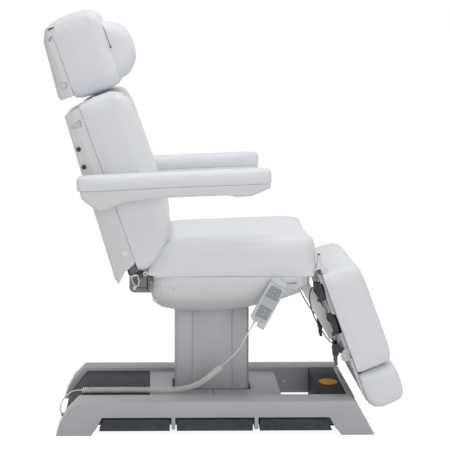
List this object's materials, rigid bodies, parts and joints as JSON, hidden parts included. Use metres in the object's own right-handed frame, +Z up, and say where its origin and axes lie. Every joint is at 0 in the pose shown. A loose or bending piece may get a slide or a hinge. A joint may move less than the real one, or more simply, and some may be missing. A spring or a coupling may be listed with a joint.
{
  "type": "podiatry chair",
  "caption": "Electric treatment chair on a lift column, with a reclining back, head rest, folding arm rests, split leg rests, rocker pedals and a corded handset.",
  "frame": {"origin": "on the floor under the middle of the chair's bounding box at rest", "axes": "+X forward towards the sitter's feet, +Y to the sitter's left, +Z up"},
  "size_m": [1.1386, 0.69, 1.3291],
  "materials": {
    "base_grey": "painted moulding, satin",
    "dark_cover": "fine grained",
    "pedal_dark": "satin",
    "column_grey": "anodised, satin",
    "black_plastic": "satin",
    "steel": "satin",
    "frame_paint": "powder coat",
    "strut_paint": "powder coat",
    "shell_white": "satin",
    "cream_plastic": "satin",
    "upholstery": "smooth vinyl",
    "handset_grey": "satin",
    "keypad": "satin",
    "cord": "satin",
    "lever": "satin"
  },
  "bodies": {
    "base": {"base_rail_right": "base_grey", "base_rail_left": "base_grey", "base_deck": "base_grey", "rear_cover": "dark_cover", "front_box": "dark_cover", "front_end_plate": "base_grey", "chassis": "frame_paint", "rear_sockets": "black_plastic", "inner_column": "column_grey", "lift_motor": "black_plastic", "handset_cord": "cord"},
    "middle_stage": {"middle_sleeve": "column_grey"},
    "carriage": {"outer_sleeve": "column_grey", "lift_rod": "steel", "lift_head": "frame_paint", "seat_pan": "shell_white", "handset_hook": "steel", "handset_case": "handset_grey", "handset_keypad": "keypad", "cord_boot": "cord"},
    "tilt_actuator": {"tilt_motor": "black_plastic"},
    "tilt_extension": {"tilt_rod": "steel"},
    "seat": {"seat_frame": "frame_paint", "seat_cushion": "upholstery", "recline_motor": "black_plastic"},
    "recline_extension": {"recline_rod": "steel"},
    "back": {"back_frame": "frame_paint", "back_shell": "shell_white", "back_caps": "cream_plastic", "back_cushion": "upholstery"},
    "head": {"head_cushion": "upholstery", "head_pillow": "upholstery", "head_shell": "shell_white", "head_bars": "steel"},
    "arm_right": {"arm_pad_right": "upholstery", "arm_shell_right": "shell_white"},
    "leg_right": {"leg_cushion_right": "upholstery", "leg_frame_right": "frame_paint", "release_gear_right": "black_plastic"},
    "foot_right": {"foot_cushion_right": "upholstery", "foot_panel_right": "shell_white"},
    "strut_outer_right": {"strut_tube_right": "strut_paint"},
    "strut_inner_right": {"strut_rod_right": "steel"},
    "lever_right": {"release_lever_right": "lever"},
    "rocker_rear_right": {"pedal_rear_right": "pedal_dark"},
    "rocker_middle_right": {"pedal_middle_right": "pedal_dark"},
    "rocker_front_right": {"pedal_front_right": "pedal_dark"},
    "arm_left": {"arm_pad_left": "upholstery", "arm_shell_left": "shell_white"},
    "leg_left": {"leg_cushion_left": "upholstery", "leg_frame_left": "frame_paint", "release_gear_left": "black_plastic"},
    "foot_left": {"foot_cushion_left": "upholstery", "foot_panel_left": "shell_white"},
    "strut_outer_left": {"strut_tube_left": "strut_paint"},
    "strut_inner_left": {"strut_rod_left": "steel"},
    "lever_left": {"release_lever_left": "lever"},
    "rocker_rear_left": {"pedal_rear_left": "pedal_dark"},
    "rocker_middle_left": {"pedal_middle_left": "pedal_dark"},
    "rocker_front_left": {"pedal_front_left": "pedal_dark"}
  },
  "joints": [
    {"name": "lift", "type": "slide", "parent": "base", "child": "carriage", "axis": [0, 0, 1], "range_m": [0, 0.28]},
    {"name": "lift_middle_stage", "type": "slide", "parent": "base", "child": "middle_stage", "axis": [0, 0, 1], "range_m": [0, 0.14]},
    {"name": "seat_tilt", "type": "hinge", "parent": "carriage", "child": "seat", "pos_m": [-0.215, 0, 0.45], "axis": [0, -1, 0], "range_deg": [0, 12]},
    {"name": "tilt_actuator_swing", "type": "hinge", "parent": "carriage", "child": "tilt_actuator", "pos_m": [-0.16, -0.045, 0.434], "axis": [0, -1, 0], "range_deg": [0, 14]},
    {"name": "tilt_actuator_stroke", "type": "slide", "parent": "tilt_actuator", "child": "tilt_extension", "axis": [0.9933, 0, 0.1154], "range_m": [0, 0.02]},
    {"name": "back_recline", "type": "hinge", "parent": "seat", "child": "back", "pos_m": [-0.27, 0, 0.487], "axis": [0, -1, 0], "range_deg": [0, 65]},
    {"name": "recline_actuator_stroke", "type": "slide", "parent": "seat", "child": "recline_extension", "axis": [1, 0, 0], "range_m": [0, 0.036]},
    {"name": "head_rest_height", "type": "slide", "parent": "back", "child": "head", "axis": [-0.3355, 0, 0.9421], "range_m": [0, 0.08]},
    {"name": "arm_fold_right", "type": "hinge", "parent": "back", "child": "arm_right", "pos_m": [-0.378, -0.3, 0.745], "axis": [0, -1, 0], "range_deg": [0, 95]},
    {"name": "leg_raise_right", "type": "hinge", "parent": "seat", "child": "leg_right", "pos_m": [0.293, -0.147, 0.516], "axis": [0, -1, 0], "range_deg": [0, 65]},
    {"name": "foot_extend_right", "type": "slide", "parent": "leg_right", "child": "foot_right", "axis": [0.3469, 0, -0.9379], "range_m": [0, 0.1]},
    {"name": "strut_swing_right", "type": "hinge", "parent": "seat", "child": "strut_outer_right", "pos_m": [0.255, -0.15, 0.47], "axis": [0, -1, 0], "range_deg": [0, 65]},
    {"name": "strut_stroke_right", "type": "slide", "parent": "strut_outer_right", "child": "strut_inner_right", "axis": [0.4875, 0, -0.8731], "range_m": [0, 0.067]},
    {"name": "release_pull_right", "type": "hinge", "parent": "leg_right", "child": "lever_right", "pos_m": [0.35028, -0.234, 0.2669], "axis": [0, 1, 0], "range_deg": [0, 18], "stiffness_Nm_per_rad": 0.6},
    {"name": "pedal_rock_rear_right", "type": "hinge", "parent": "base", "child": "rocker_rear_right", "pos_m": [-0.2811, -0.271, 0.0325], "axis": [0, -1, 0], "range_deg": [-2, 2], "stiffness_Nm_per_rad": 8},
    {"name": "pedal_rock_middle_right", "type": "hinge", "parent": "base", "child": "rocker_middle_right", "pos_m": [-0.0285, -0.271, 0.0325], "axis": [0, -1, 0], "range_deg": [-2, 2], "stiffness_Nm_per_rad": 8},
    {"name": "pedal_rock_front_right", "type": "hinge", "parent": "base", "child": "rocker_front_right", "pos_m": [0.2271, -0.271, 0.0325], "axis": [0, -1, 0], "range_deg": [-2, 2], "stiffness_Nm_per_rad": 8},
    {"name": "arm_fold_left", "type": "hinge", "parent": "back", "child": "arm_left", "pos_m": [-0.378, 0.3, 0.745], "axis": [0, -1, 0], "range_deg": [0, 95]},
    {"name": "leg_raise_left", "type": "hinge", "parent": "seat", "child": "leg_left", "pos_m": [0.293, 0.147, 0.516], "axis": [0, -1, 0], "range_deg": [0, 65]},
    {"name": "foot_extend_left", "type": "slide", "parent": "leg_left", "child": "foot_left", "axis": [0.3469, 0, -0.9379], "range_m": [0, 0.1]},
    {"name": "strut_swing_left", "type": "hinge", "parent": "seat", "child": "strut_outer_left", "pos_m": [0.255, 0.15, 0.47], "axis": [0, -1, 0], "range_deg": [0, 65]},
    {"name": "strut_stroke_left", "type": "slide", "parent": "strut_outer_left", "child": "strut_inner_left", "axis": [0.4875, 0, -0.8731], "range_m": [0, 0.067]},
    {"name": "release_pull_left", "type": "hinge", "parent": "leg_left", "child": "lever_left", "pos_m": [0.35028, 0.234, 0.2669], "axis": [0, 1, 0], "range_deg": [0, 18], "stiffness_Nm_per_rad": 0.6},
    {"name": "pedal_rock_rear_left", "type": "hinge", "parent": "base", "child": "rocker_rear_left", "pos_m": [-0.2811, 0.271, 0.0325], "axis": [0, -1, 0], "range_deg": [-2, 2], "stiffness_Nm_per_rad": 8},
    {"name": "pedal_rock_middle_left", "type": "hinge", "parent": "base", "child": "rocker_middle_left", "pos_m": [-0.0285, 0.271, 0.0325], "axis": [0, -1, 0], "range_deg": [-2, 2], "stiffness_Nm_per_rad": 8},
    {"name": "pedal_rock_front_left", "type": "hinge", "parent": "base", "child": "rocker_front_left", "pos_m": [0.2271, 0.271, 0.0325], "axis": [0, -1, 0], "range_deg": [-2, 2], "stiffness_Nm_per_rad": 8}
  ],
  "couplings": [
    {"joint": "lift_middle_stage", "follows": "lift", "ratio": 0.5},
    {"joint": "tilt_actuator_swing", "follows": "seat_tilt", "ratio": 1.1575},
    {"joint": "tilt_actuator_stroke", "follows": "seat_tilt", "m_per_rad": 0.02841},
    {"joint": "recline_actuator_stroke", "follows": "back_recline", "m_per_rad": 0.03022},
    {"joint": "strut_swing_right", "follows": "leg_raise_right", "ratio": 0.98},
    {"joint": "strut_stroke_right", "follows": "leg_raise_right", "m_per_rad": 0.0585},
    {"joint": "strut_swing_left", "follows": "leg_raise_left", "ratio": 0.98},
    {"joint": "strut_stroke_left", "follows": "leg_raise_left", "m_per_rad": 0.0585}
  ]
}
